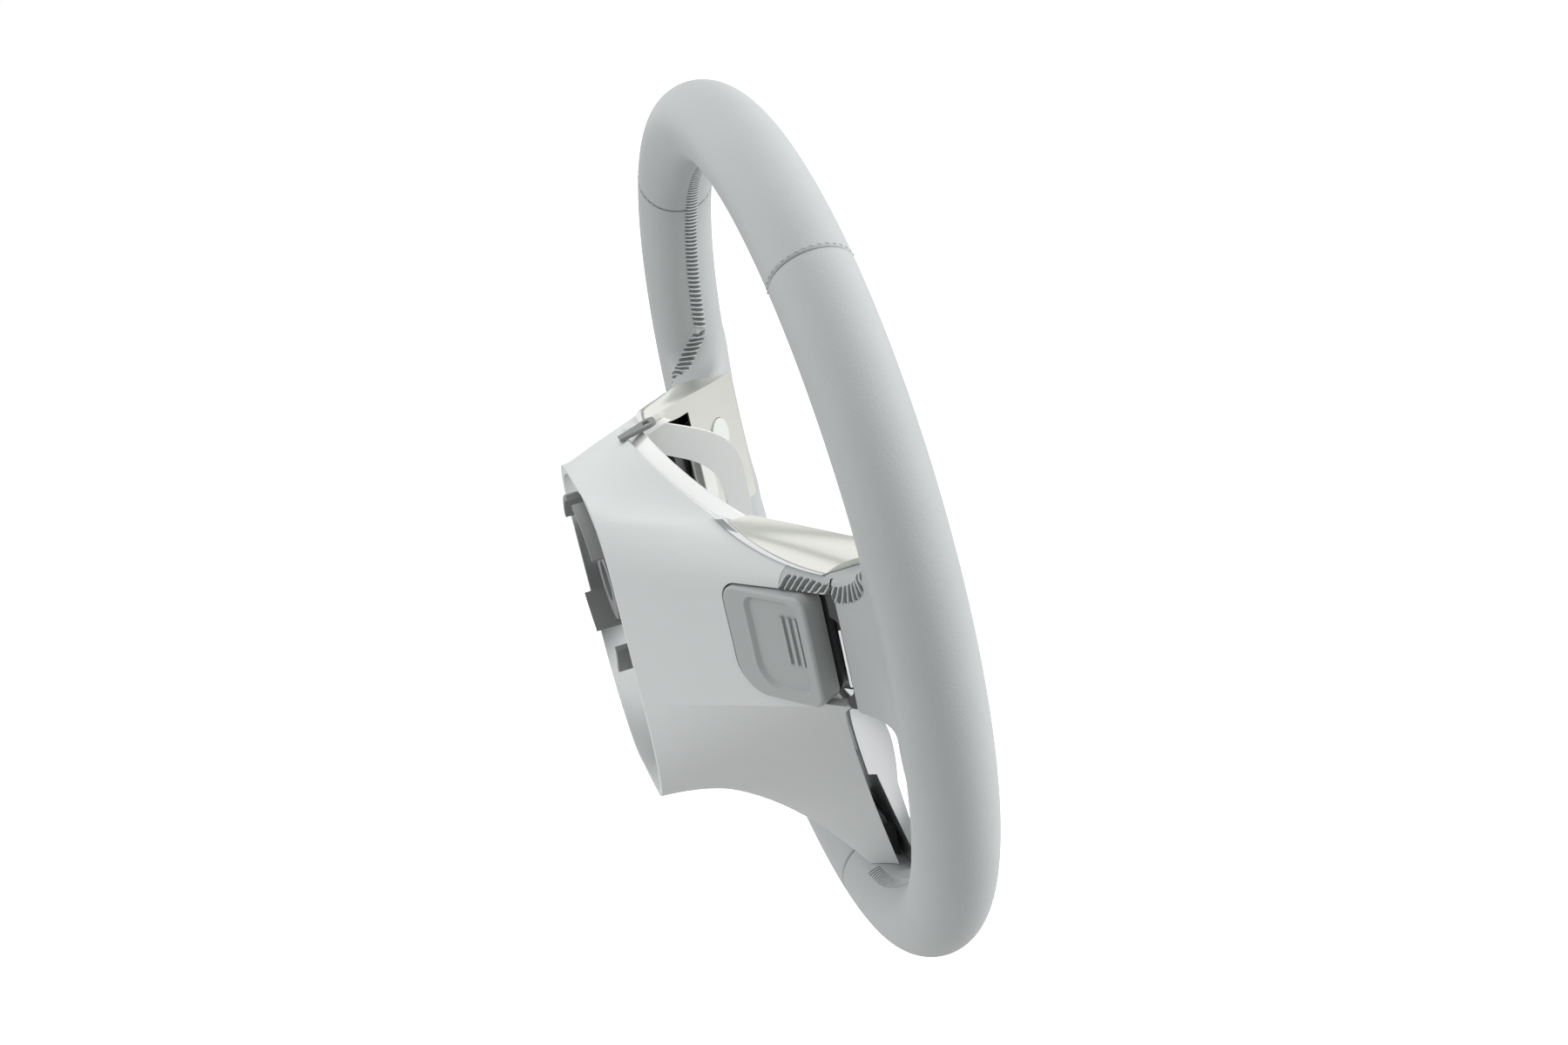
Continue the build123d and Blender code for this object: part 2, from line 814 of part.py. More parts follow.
with BuildPart() as ahead_of_trim_edge:
    with BuildSketch(Plane.YZ):
        with BuildLine():
            Polyline(
                (at(spoke_edge_depth - trim_gap), -spoke_edge_bottom),
                (at(notch_depth), -trim_notch_height),
                (at(notch_depth - trim_notch), -trim_notch_height),
                (at(foot_edge_depth - trim_foot_gap), -foot_edge_height),
                (at(foot_edge_depth - trim_foot_gap), -far),
                (-2 * far, -far),
                (-2 * far, 0),
                (at(spoke_edge_depth - trim_gap), 0),
                close=True,
            )
        make_face()
    extrude(amount=far, both=True)
with BuildPart() as trim_core:
    add(flared_body(trim_step + trim_wall, overrun=0.06))
    add(behind_trim_face(trim_wall), mode=Mode.INTERSECT)
    add(cavity_prism(trim_wall), mode=Mode.SUBTRACT)
with BuildPart() as lower_trim:
    add(flared_body(trim_step))
    add(behind_trim_face(0), mode=Mode.INTERSECT)
    add(ahead_of_trim_edge.part, mode=Mode.INTERSECT)
    add(cavity_prism(0), mode=Mode.SUBTRACT)
    add(trim_core.part, mode=Mode.SUBTRACT)
    add(rim_guard, mode=Mode.SUBTRACT)
    add(inside_rim, mode=Mode.INTERSECT)

# Left shift rocker: dished paddle with three ribs, pivoted at its hub side
rocker_tilt = atan2(rocker_high - rocker_low, rocker_width)
rocker_top_plane = Plane(
    rocker_plane.from_local_coords(Vector(0, 0, (rocker_low + rocker_high) / 2)),
    x_dir=rocker_plane.x_dir * cos(rocker_tilt) + rocker_plane.z_dir * sin(rocker_tilt),
    z_dir=rocker_plane.z_dir * cos(rocker_tilt) - rocker_plane.x_dir * sin(rocker_tilt),
)
outer_plan = rocker_plan(0)
hollow_plan = rocker_plan(-rocker_wall)
dish_plan = rocker_outline(dish_width, dish_height, dish_corner, dish_low_corner, dish_corner)
carrier_plan = rocker_plan(-rocker_wall / 2)
with BuildPart() as pin_carrier:
    with BuildSketch(pin_plane):
        Circle(pin_boss)
    extrude(amount=rocker_height / 2, both=True)
    with BuildSketch(rocker_plane.offset(pin_z)):
        with Locations((pin_x, 0)):
            Rectangle(2 * pin_boss, rocker_height)
    extrude(amount=-pin_z - rocker_roof / 2)
    with BuildSketch(rocker_plane):
        add(carrier_plan)
    extrude(amount=2 * pin_z, both=True, mode=Mode.INTERSECT)
with BuildPart() as left_shift_rocker:
    with BuildSketch(rocker_plane.offset(-rocker_skirt)):
        add(outer_plan)
    extrude(amount=rocker_skirt + rocker_high)
    with BuildSketch(rocker_profile_plane):
        with BuildLine():
            Polyline(
                (-rocker_width / 2, -rocker_skirt),
                (rocker_width / 2, -rocker_skirt),
                (rocker_width / 2, rocker_high),
                (-rocker_width / 2, rocker_low),
                close=True,
            )
        make_face()
    extrude(amount=rocker_height, both=True, mode=Mode.INTERSECT)
    rocker_face = left_shift_rocker.faces().sort_by(Axis(rocker_plane.origin, rocker_plane.z_dir))[-1]
    fillet(rocker_face.edges(), rocker_round)
    with BuildSketch(rocker_top_plane):
        with Locations((dish_x, dish_z)):
            add(dish_plan)
    extrude(amount=-rocker_dish, taper=dish_taper, mode=Mode.SUBTRACT)
    with BuildSketch(rocker_top_plane.offset(-rocker_dish)):
        with Locations((rib_x, rib_z)):
            with GridLocations(rib_pitch, 0, 3, 1):
                SlotOverall(rib_length, rib_width, rotation=90)
    extrude(amount=rib_height)
    with BuildSketch(rocker_plane.offset(-rocker_skirt)):
        add(hollow_plan)
    extrude(amount=rocker_skirt - rocker_roof, mode=Mode.SUBTRACT)
    with BuildSketch(rocker_plane.offset(-rocker_roof)):
        with Locations((switch_x, 0)):
            Circle(plunger_radius)
    extrude(amount=foot_end + rocker_roof)
    add(pin_carrier.part)
    with BuildSketch(rocker_plane.offset(-rocker_roof)):
        with Locations((pin_x, 0)):
            with GridLocations(0, lug_spacing, 1, 2):
                Rectangle(2 * lug_width, lug_thickness + 2 * lug_gap)
    extrude(amount=-rocker_skirt - pin_boss, mode=Mode.SUBTRACT)
    with BuildSketch(pin_plane):
        Circle(pin_radius + pin_clearance)
    extrude(amount=rocker_height, both=True, mode=Mode.SUBTRACT)

with BuildPart() as left_rocker_pin:
    with BuildSketch(pin_plane):
        Circle(pin_radius)
    extrude(amount=rocker_height / 2 - pin_inset, both=True)

# Rocker base under the cover: plate with two lugs for the pin
base_length = rocker_width / 2 - base_start
lug_top = pin_z + pin_boss - lug_gap / 2
with BuildPart() as left_rocker_base:
    with BuildSketch(rocker_plane.offset(base_back)):
        with Locations((base_start + base_length / 2, 0)):
            RectangleRounded(base_length, rocker_height, rocker_corner)
        with Locations(*base_screw_places):
            Circle(screw_radius + screw_clearance, mode=Mode.SUBTRACT)
    extrude(amount=base_thickness)
    with BuildSketch(rocker_plane.offset(base_top)):
        with Locations((pin_x, 0)):
            with GridLocations(0, lug_spacing, 1, 2):
                Rectangle(lug_width, lug_thickness)
    extrude(amount=lug_top - base_top)
    with BuildSketch(pin_plane):
        Circle(pin_radius)
    extrude(amount=rocker_height, both=True, mode=Mode.SUBTRACT)

with BuildPart() as left_rocker_switch:
    with BuildSketch(rocker_plane.offset(base_top)):
        with Locations((switch_x, 0)):
            Rectangle(switch_width, switch_length)
    extrude(amount=switch_height)
    chamfer(left_rocker_switch.faces().sort_by(Axis(rocker_plane.origin, rocker_plane.z_dir))[-1].edges(), 0.4)
    with BuildSketch(rocker_plane.offset(base_top + switch_height)):
        with Locations((switch_x, 0)):
            Circle(plunger_radius)
    extrude(amount=plunger_height)

# Bright bead along the leather side of the slot
with BuildPart() as left_slot_bead:
    with BuildSketch(rocker_plane.offset(-bead_drop)):
        with Locations((slot_x + slot_width / 2 - bead_gap - bead_radius, slot_z)):
            SlotOverall(slot_height - slot_width, 2 * bead_radius, rotation=90)
    extrude(amount=-2 * bead_radius)

# Keys behind the left bezel face: cap, flange and post
left_keys = {}
for name, (x, z, width, height) in keys.items():
    with BuildPart() as key:
        with BuildSketch(face_plane.offset(-cover_wall - key_flange_gap)):
            with Locations((x, z)):
                key_outline(width, height)
        extrude(amount=cover_wall + key_flange_gap + key_proud)
        fillet(key.edges().group_by(Axis(face_plane.origin, face_plane.z_dir))[-1], key_round)
        with BuildSketch(face_plane.offset(-cover_wall - key_flange_gap)):
            with Locations((x, z)):
                key_outline(width + 2 * key_flange_rim, height + 2 * key_flange_rim)
        extrude(amount=-key_flange)
        with BuildSketch(face_plane.offset(-key_post_end)):
            with Locations((x, z)):
                Circle(key_post_radius)
        extrude(amount=key_post_end - cover_wall - key_flange_gap)
    left_keys[name] = key

with BuildPart() as left_key_mat:
    with BuildSketch(face_plane.offset(board_front)):
        with Locations((0, button_z)):
            Rectangle(board_width, board_height)
        with Locations(*board_bosses):
            Circle(board_boss_radius + collar_gap, mode=Mode.SUBTRACT)
    extrude(amount=mat_thickness)
    with BuildSketch(face_plane.offset(mat_top)):
        for x, z, width, height in keys.values():
            with Locations((x, z)):
                Circle(key_post_radius + collar_gap + collar_wall)
                Circle(key_post_radius + collar_gap, mode=Mode.SUBTRACT)
    extrude(amount=collar_height)

with BuildPart() as left_switch_board:
    with BuildSketch(face_plane.offset(board_back)):
        with Locations((0, button_z)):
            Rectangle(board_width, board_height)
        with Locations(*board_bosses):
            Circle(screw_radius + screw_clearance, mode=Mode.SUBTRACT)
    extrude(amount=board_thickness)

# Collar behind the hub plate, with lugs that stand out of the column opening
with BuildPart() as column_collar:
    with BuildSketch(Plane.XZ.offset(-at(plate_front + plate_thickness))):
        Circle(collar_radius)
        Circle(collar_radius - collar_ring_wall, mode=Mode.SUBTRACT)
    extrude(amount=plate_front + plate_thickness - collar_ring_end)
    for start, sweep in ((upper_lug_start, upper_lug_sweep), (lower_lug_start, lower_lug_sweep)):
        with BuildSketch(Plane.XZ.offset(-at(collar_ring_end))):
            with BuildLine():
                outside = CenterArc((0, 0), collar_radius, start, sweep)
                inside = CenterArc((0, 0), collar_radius - collar_ring_wall, start, sweep)
                Line(outside @ 0, inside @ 0)
                Line(outside @ 1, inside @ 1)
            make_face()
            mirror(about=Plane.YZ)
        extrude(amount=collar_ring_end - lug_end)

# Tab with an oval eye on the hub lip
top_slope = (mouth_top - opening_top) / (cover_depth - mouth_depth)
tab_depth = lip_depth - tab_setback
tab_plane = Plane(
    origin=(0, at(tab_depth), opening_top + top_slope * (cover_depth - tab_depth) + tab_lift),
    x_dir=(1, 0, 0),
    z_dir=(0, tab_slope, 1),
)
with BuildPart() as lip_tab:
    with BuildSketch(tab_plane) as tab_outline:
        with BuildLine():
            Polyline(
                (0, 0),
                (-tab_root_width / 2, 0),
                (-tab_head_width / 2, -tab_length),
                (0, -tab_length),
            )
            mirror(about=Plane.YZ)
        make_face()
        fillet(tab_outline.vertices().group_by(Axis.Y)[0], tab_corner)
        with Locations((0, tab_eye_inset - tab_length)):
            SlotOverall(tab_eye_length, tab_eye_width, mode=Mode.SUBTRACT)
    extrude(amount=tab_thickness)

# Screws, each group in one node
board_screws = [
    screw(Plane(face_plane.from_local_coords(Vector(x, z, board_back)), z_dir=-face_plane.z_dir),
          board_thickness + screw_bite)
    for x, z in board_bosses
]
base_screws = [
    screw(Plane(rocker_plane.from_local_coords(Vector(x, z, base_back)), z_dir=-rocker_plane.z_dir),
          base_thickness + screw_bite)
    for x, z in base_screw_places
]
cover_screws = [
    screw(Plane((x, at(plate_front), z), z_dir=(0, -1, 0)), plate_thickness + screw_bite)
    for x, z in post_places
]

for name, piece in (
    ("armature", armature),
    ("rim_foam", rim_foam),
    ("leather_top", leather_top),
    ("leather_left", leather_left),
    ("leather_right", leather_right),
    ("rear_cover", rear_cover),
    ("airbag_frame", airbag_frame),
    ("lower_trim", lower_trim),
    ("column_collar", column_collar),
    ("lip_tab", lip_tab),
):
    write(piece.part, name)

for name, piece in (
    ("chrome_strip", left_chrome_strip),
    ("bezel", left_bezel),
    ("shift_rocker", left_shift_rocker),
    ("rocker_pin", left_rocker_pin),
    ("rocker_base", left_rocker_base),
    ("rocker_switch", left_rocker_switch),
    ("slot_bead", left_slot_bead),
    ("key_mat", left_key_mat),
    ("switch_board", left_switch_board),
    *left_keys.items(),
):
    with BuildPart() as right_piece:
        mirror(piece.part, about=Plane.YZ)
    write(piece.part, f"left_{name}")
    write(right_piece.part, f"right_{name}")

for name, screws in (("board_screws", board_screws), ("rocker_base_screws", base_screws)):
    with BuildPart() as screw_set:
        for piece in screws:
            add(piece)
            mirror(piece, about=Plane.YZ)
    write(screw_set.part, name)
with BuildPart() as cover_screw_set:
    for piece in cover_screws:
        add(piece)
write(cover_screw_set.part, "cover_screws")
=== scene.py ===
"""Looks of a car steering wheel: sewn leather rim, moulded cover, satin bezels, bright strips."""

import json
from math import cos, pi, radians, sin

import bpy
import numpy as np
from mathutils import Matrix, Vector
from mathutils.bvhtree import BVHTree


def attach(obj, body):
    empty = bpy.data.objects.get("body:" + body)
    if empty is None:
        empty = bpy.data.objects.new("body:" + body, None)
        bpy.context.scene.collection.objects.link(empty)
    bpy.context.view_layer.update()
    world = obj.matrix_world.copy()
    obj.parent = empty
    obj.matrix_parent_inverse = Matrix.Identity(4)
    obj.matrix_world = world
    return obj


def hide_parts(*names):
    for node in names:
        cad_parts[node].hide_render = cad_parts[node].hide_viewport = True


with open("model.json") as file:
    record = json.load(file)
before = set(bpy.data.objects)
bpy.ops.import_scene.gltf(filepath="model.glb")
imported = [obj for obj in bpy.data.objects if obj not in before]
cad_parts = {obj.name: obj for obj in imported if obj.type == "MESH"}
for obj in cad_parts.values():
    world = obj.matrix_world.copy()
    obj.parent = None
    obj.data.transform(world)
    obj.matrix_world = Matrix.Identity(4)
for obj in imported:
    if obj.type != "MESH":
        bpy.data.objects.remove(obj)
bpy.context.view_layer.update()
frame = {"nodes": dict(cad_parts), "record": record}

# Sizes are in millimetres, as in the part, and angles round the rim in degrees
MM = 0.001

# Rim, with a seam between each two of its three leather panels
RIM_RADIUS = 176.0
TUBE_RADIUS = 17.0
HUB_DEPTH = 88.0
SEAM_RIGHT, SEAM_LEFT, SEAM_FOOT = 50.0, 130.0, 270.0
SEAM_HALF_GAP = 0.22
SEAM_GROOVE = 1.0
SEAM_GROOVE_WIDTH = 0.9

# Spoke roots, which run in along X from the grip to their end and set back on the way
ROOT_INSIDE = 167.5
ROOT_END = 136.0
ROOT_DEEP = 162.0
ROOT_MIDDLE = 2.0
ROOT_ROUND = 5.0
ROOT_THICK_AT_RIM = 25.16
ROOT_THICK_AT_END = 27.0
ROOT_HALF_HEIGHT = 29.0
ROOT_FLARE = 14.0
ROOT_SET_BACK = 13.0
ROOT_OVERRUN = 1.15
END_BLEND = 1.2
DEEP_BLEND = 2.0
RIM_BLEND = 9.0

# Closing seam along the inside of the grip
SEW_TILT = radians(8.0)
SEW_GROOVE = 0.8
SEW_GROOVE_WIDTH = 0.7
SEW_SWELL = 0.25
SEW_SWELL_WIDTH = 4.5
ROOT_CLEAR = 19.0
ROOT_FADE = 3.0
FOOT_CLEAR = 8.5
FOOT_FADE = 2.0
FOOT_TURN = radians(34.0)
FOOT_TURN_FROM = 50.0
FOOT_TURN_OVER = 35.0

FIELD_STEP = 0.05
LEAST_SLOPE = 0.05


def smooth_min(a, b, reach):
    share = np.clip(0.5 + 0.5 * (b - a) / reach, 0, 1)
    return b * (1 - share) + a * share - reach * share * (1 - share)


def smooth_max(a, b, reach):
    return -smooth_min(-a, -b, reach)


def bell(distance, width):
    return np.exp(-((distance / width) ** 2))


def wrap(angle):
    return (angle + 180.0) % 360.0 - 180.0


def from_spokes(theta):
    """Angle from the nearer of the two horizontal spokes."""
    return np.minimum(np.abs(wrap(theta)), np.abs(wrap(theta - 180)))


def from_foot(theta):
    """Angle from the lower spoke."""
    return np.abs(wrap(theta - SEAM_FOOT))


def sew_mask(theta):
    """1 where the closing seam runs along the inside of the rim, 0 at the spokes."""
    at_root = np.clip((from_spokes(theta) - ROOT_CLEAR + ROOT_FADE) / ROOT_FADE, 0, 1)
    return at_root * np.clip((from_foot(theta) - FOOT_CLEAR + FOOT_FADE) / FOOT_FADE, 0, 1)


def sew_turn(theta):
    """Angle round the grip of the closing seam, which moves to the back near the lower spoke."""
    near = np.clip((FOOT_TURN_FROM - from_foot(theta)) / FOOT_TURN_OVER, 0, 1)
    return pi + SEW_TILT - FOOT_TURN * near**2 * (3 - 2 * near)


def root_share(x, most=1.0):
    """0 where a spoke root leaves the grip, 1 at its end."""
    return np.clip((ROOT_INSIDE - np.abs(x)) / (ROOT_INSIDE - ROOT_END), 0, most)


def root_depth(share):
    """How far a spoke root is set back."""
    return ROOT_SET_BACK * share**2


def rounded_box(a, b, half_a, half_b, radius):
    """Signed distance to a rectangle with round corners."""
    qa = np.abs(a) - (half_a - radius)
    qb = np.abs(b) - (half_b - radius)
    outside = np.hypot(np.maximum(qa, 0), np.maximum(qb, 0))
    return outside + np.minimum(np.maximum(qa, qb), 0) - radius


def root_field(x, depth, z):
    """Signed distance, roughly, to the spoke roots."""
    share = root_share(x, ROOT_OVERRUN)
    half_depth = (ROOT_THICK_AT_RIM + (ROOT_THICK_AT_END - ROOT_THICK_AT_RIM) * share) / 2
    half_height = ROOT_HALF_HEIGHT + ROOT_FLARE * np.clip(1 - share, 0, 1) ** 2
    field = rounded_box(
        depth - root_depth(share), z - ROOT_MIDDLE, half_depth, half_height, ROOT_ROUND
    )
    field = smooth_max(field, ROOT_END - np.abs(x), END_BLEND)
    return smooth_max(field, np.abs(x) - ROOT_DEEP, DEEP_BLEND)


def rim_field(p, seams=True):
    """Signed distance, roughly, to the leather surface of rim and spoke roots."""
    x, depth, z = p[..., 0], p[..., 1] + HUB_DEPTH, p[..., 2]
    q = np.hypot(x, z) - RIM_RADIUS
    torus = np.hypot(q, depth) - TUBE_RADIUS
    field = smooth_min(torus, root_field(x, depth, z), RIM_BLEND)
    if seams:
        theta = np.degrees(np.arctan2(z, x))
        for seam in (SEAM_RIGHT, SEAM_LEFT, SEAM_FOOT):
            along = radians(1) * wrap(theta - seam) * RIM_RADIUS
            field = field + SEAM_GROOVE * bell(along, SEAM_GROOVE_WIDTH)
        phi = np.arctan2(depth, q)
        across = np.angle(np.exp(1j * (phi - sew_turn(theta)))) * TUBE_RADIUS
        groove = SEW_GROOVE * bell(across, SEW_GROOVE_WIDTH)
        field = field + sew_mask(theta) * (groove - SEW_SWELL * bell(across, SEW_SWELL_WIDTH))
    return field


def gradient(p, seams=True):
    g = np.empty_like(p)
    for k in range(3):
        d = np.zeros(3)
        d[k] = FIELD_STEP
        g[..., k] = (rim_field(p + d, seams) - rim_field(p - d, seams)) / (2 * FIELD_STEP)
    return g


def settle(p, seams=True, rounds=5):
    """Moves points onto the leather surface."""
    for _ in range(rounds):
        g = gradient(p, seams)
        p = p - g * (rim_field(p, seams) / np.maximum((g**2).sum(-1), LEAST_SLOPE))[..., None]
    return p


def normals_at(p):
    g = gradient(p, False)
    return g / np.linalg.norm(g, axis=-1, keepdims=True)


def rim_point(theta, q, depth):
    r = RIM_RADIUS + q
    return np.stack([r * np.cos(theta), depth - HUB_DEPTH, r * np.sin(theta)], -1)


def grip_point(theta, turn):
    """Point on the round grip, at an angle round the rim and one round the grip (radians)."""
    return rim_point(theta, TUBE_RADIUS * np.cos(turn), TUBE_RADIUS * np.sin(turn))


def ring_faces(rings, count, start=0):
    """Quads between closed rings of points that follow each other."""
    faces = []
    for i in range(rings - 1):
        low, high = start + i * count, start + (i + 1) * count
        for j in range(count):
            k = (j + 1) % count
            faces.append((low + j, low + k, high + k, high + j))
    return faces


def new_piece(name, verts, faces, smooth=True):
    mesh = bpy.data.meshes.new(name)
    mesh.from_pydata([tuple(v) for v in np.asarray(verts) * MM], [], faces)
    mesh.polygons.foreach_set("use_smooth", [smooth] * len(mesh.polygons))
    mesh.update()
    piece = bpy.data.objects.new(name, mesh)
    bpy.context.scene.collection.objects.link(piece)
    return piece


# Leather panels: a ring of points at each angle, closer together at the roots and the seams
ROUND_COUNT = 84
ANGLE_STEP = 1.0
ROOT_ANGLE_STEP = 0.32
ROOT_ANGLES = 21.0
SEAM_RINGS = (0.25, 0.5, 0.8, 1.2, 1.7, 2.4, 3.2)
REACH_FROM, REACH_TO, REACH_STEP = -43.0, -16.5, 0.25
SQUARE_MOST = 0.75
SQUARE_OVER = 0.6
ROOT_STRETCH = 1.02
FLATTENING = 0.8
EVENING_ROUNDS = 10


def panel_angles(start, end):
    angles = []
    theta = start
    while theta < end:
        angles.append(theta)
        theta += ROOT_ANGLE_STEP if from_spokes(theta) < ROOT_ANGLES else ANGLE_STEP
    angles.append(end)
    edge = np.degrees(np.array(SEAM_RINGS) / RIM_RADIUS)
    angles = [a for a in angles if a - start > edge[-1] or a == start]
    angles = [a for a in angles if end - a > edge[-1] or a == end]
    return np.radians(np.unique(np.concatenate([angles, start + edge, end - edge])))


def inner_reach(theta):
    """How far in from the rim's middle line the leather reaches at each angle."""
    q = np.arange(REACH_FROM, REACH_TO, REACH_STEP)
    grid_theta, grid_q = np.meshgrid(theta, q, indexing="ij")
    depth = root_depth(root_share((RIM_RADIUS + grid_q) * np.cos(grid_theta)))
    inside = rim_field(rim_point(grid_theta, grid_q, depth), False) < 0
    return np.where(inside.any(1), q[inside.argmax(1)], -TUBE_RADIUS)


def panel_points(theta):
    """Rings of points, stretched towards the roots, evened out and pressed into the seams."""
    phi = np.linspace(0, 2 * pi, ROUND_COUNT, endpoint=False)
    grid_theta, grid_phi = np.meshgrid(theta, phi, indexing="ij")
    reach = inner_reach(theta)[:, None]
    stretch = np.maximum(-reach / TUBE_RADIUS, 1.0)
    square = SQUARE_MOST * np.clip((stretch - 1.0) / SQUARE_OVER, 0, 1)
    c, s = np.cos(grid_phi), np.sin(grid_phi)
    scale = np.where(c < 0, np.maximum(np.abs(c), np.abs(s)) ** -square, 1.0)
    q = TUBE_RADIUS * c * np.where(c < 0, stretch, 1.0)
    q = np.where(c < 0, np.maximum(q * scale, reach), q)
    share = root_share((RIM_RADIUS + q) * np.cos(grid_theta))
    shift = np.where(stretch > ROOT_STRETCH, root_depth(share), 0.0)
    depth = TUBE_RADIUS * s * FLATTENING * scale + shift
    points = settle(rim_point(grid_theta, q, depth), False, 8)
    for _ in range(EVENING_ROUNDS):
        inner = (np.roll(points, 1, 1) + np.roll(points, -1, 1))[1:-1]
        inner = (inner + points[2:] + points[:-2]) / 4
        points[1:-1] = settle(0.5 * points[1:-1] + 0.5 * inner, False, 2)
    return settle(points, True, 4)


def leather_panel(name, start, end):
    gap = np.degrees(SEAM_HALF_GAP / RIM_RADIUS)
    theta = panel_angles(start + gap, end - gap)
    rings = len(theta)
    middles = np.stack([rim_point(theta[0], 0.0, 0.0), rim_point(theta[-1], 0.0, 0.0)])
    verts = np.concatenate([panel_points(theta).reshape(-1, 3), middles])
    faces = ring_faces(rings, ROUND_COUNT)
    first_middle = rings * ROUND_COUNT
    last_ring = first_middle - ROUND_COUNT
    for j in range(ROUND_COUNT):
        k = (j + 1) % ROUND_COUNT
        faces.append((first_middle, k, j))
        faces.append((first_middle + 1, last_ring + j, last_ring + k))
    return new_piece(name, verts, faces)


leather_pieces = {
    "leather_top": leather_panel("leather_top_panel", SEAM_RIGHT, SEAM_LEFT),
    "leather_left": leather_panel("leather_left_panel", SEAM_LEFT, SEAM_FOOT),
    "leather_right": leather_panel("leather_right_panel", SEAM_FOOT, SEAM_RIGHT + 360),
}
SPOKE_SIDES = (("leather_left", 1), ("leather_right", -1))

# Back of the spokes: plane of the shift rocker, slot beside it and leather tongue above it
SIDE_TURN = radians(36.87)
ROCKER_X = 114.2
ROCKER_DEPTH = 42.85
ROCKER_Z = 0.5
SLOT_MIDDLE = (27.0, -3.5)
SLOT_WIDTH = 10.0
SLOT_HEIGHT = 34.0
SLOT_DEPTH = 7.0
SLOT_POINTS = 48
TONGUE_ROOT = 139.5
TONGUE_LOW = 24.0
SHARP_EDGE = radians(38)


def on_spoke(mirror, across, up, lift):
    """Point at a place on the back of a spoke, lifted off its face (mirror 1 is the left spoke)."""
    x = -ROCKER_X - cos(SIDE_TURN) * across - sin(SIDE_TURN) * lift
    y = ROCKER_DEPTH - HUB_DEPTH - sin(SIDE_TURN) * across + cos(SIDE_TURN) * lift
    return np.array([mirror * x, y, ROCKER_Z + up])


def slot_cutter(mirror):
    radius = SLOT_WIDTH / 2
    half = SLOT_HEIGHT / 2 - radius
    ring = []
    for k in range(SLOT_POINTS):
        a = 2 * pi * k / SLOT_POINTS
        ring.append((radius * cos(a), radius * sin(a) + (half if sin(a) > 0 else -half)))
    verts = [on_spoke(mirror, SLOT_MIDDLE[0] + u, SLOT_MIDDLE[1] + v, lift)
             for lift in (-SLOT_DEPTH, 3 * SLOT_DEPTH) for u, v in ring]
    faces = ring_faces(2, SLOT_POINTS)
    faces += [tuple(reversed(range(SLOT_POINTS))), tuple(range(SLOT_POINTS, 2 * SLOT_POINTS))]
    if mirror > 0:
        faces = [tuple(reversed(face)) for face in faces]
    return new_piece("slot_cutter", verts, faces, smooth=False)


def cut_slot(piece, mirror):
    cutter = slot_cutter(mirror)
    cut = piece.modifiers.new("slot", "BOOLEAN")
    cut.operation = "DIFFERENCE"
    cut.solver = "EXACT"
    cut.object = cutter
    evaluated = piece.evaluated_get(bpy.context.evaluated_depsgraph_get())
    mesh = bpy.data.meshes.new_from_object(evaluated)
    piece.modifiers.clear()
    piece.data = mesh
    bpy.data.objects.remove(cutter)


def add_tongue(piece, name):
    """Takes the tongue along the top of the spoke from the solid of the same panel."""
    solid = frame["nodes"][name]
    verts = [solid.matrix_world @ v.co for v in solid.data.vertices]

    def on_tongue(v):
        return abs(v.x) < TONGUE_ROOT * MM and v.z > TONGUE_LOW * MM

    keep = [f for f in solid.data.polygons if all(on_tongue(verts[i]) for i in f.vertices)]
    used = sorted({i for f in keep for i in f.vertices})
    index = {old: new for new, old in enumerate(used)}
    panel = piece.data
    start = len(panel.vertices)
    all_verts = [v.co[:] for v in panel.vertices] + [verts[i][:] for i in used]
    all_faces = [tuple(f.vertices) for f in panel.polygons]
    all_faces += [tuple(start + index[i] for i in f.vertices) for f in keep]
    mesh = bpy.data.meshes.new(piece.name)
    mesh.from_pydata(all_verts, [], all_faces)
    mesh.polygons.foreach_set("use_smooth", [True] * len(mesh.polygons))
    mesh.set_sharp_from_angle(angle=SHARP_EDGE)
    piece.data = mesh


for name, mirror in SPOKE_SIDES:
    cut_slot(leather_pieces[name], mirror)
    add_tongue(leather_pieces[name], name)

# Thread: pale stitches over the closing seam, and dark threads between them as painted shade of the
# seam's gaps
THREAD_SIDES = 6
THREAD_TIP = 0.55
THREAD_RADIUS = 0.5
SHADE_THREAD_RADIUS = 0.85
SHADE_THREAD_LIFT = -0.2
STITCH_PITCH = 2.9
STITCH_WIDTH = 7.6
STITCH_LEAN = 3.4
STITCH_LIFT = 0.28
STITCH_POINTS = 7
STITCH_DIP = 0.7
TANGENT_REACH = 0.5
SEW_STEP = 0.4
SEW_FROM_ROOT = 19.5
SEW_FROM_FOOT = 9.0


def tubes(name, paths, radius):
    """One mesh of short round threads; each path is a row of points and their normals."""
    verts, faces = [], []
    for path, up in paths:
        tangent = np.gradient(path, axis=0)
        tangent /= np.linalg.norm(tangent, axis=1, keepdims=True)
        side = np.cross(tangent, up)
        side /= np.linalg.norm(side, axis=1, keepdims=True)
        up = np.cross(side, tangent)
        start = len(verts)
        count = len(path)
        ends = np.ones(count)
        ends[0] = ends[-1] = THREAD_TIP
        for i in range(count):
            for k in range(THREAD_SIDES):
                a = 2 * pi * k / THREAD_SIDES
                verts.append(path[i] + radius * ends[i] * (cos(a) * side[i] + sin(a) * up[i]))
        faces += ring_faces(count, THREAD_SIDES, start)
        faces.append(tuple(start + k for k in reversed(range(THREAD_SIDES))))
        faces.append(tuple(start + (count - 1) * THREAD_SIDES + k for k in range(THREAD_SIDES)))
    return new_piece(name, verts, faces)


def on_field(points):
    """Points on the leather surface by its formula, with their normals."""
    points = settle(points, False, 3)
    return points, normals_at(points)


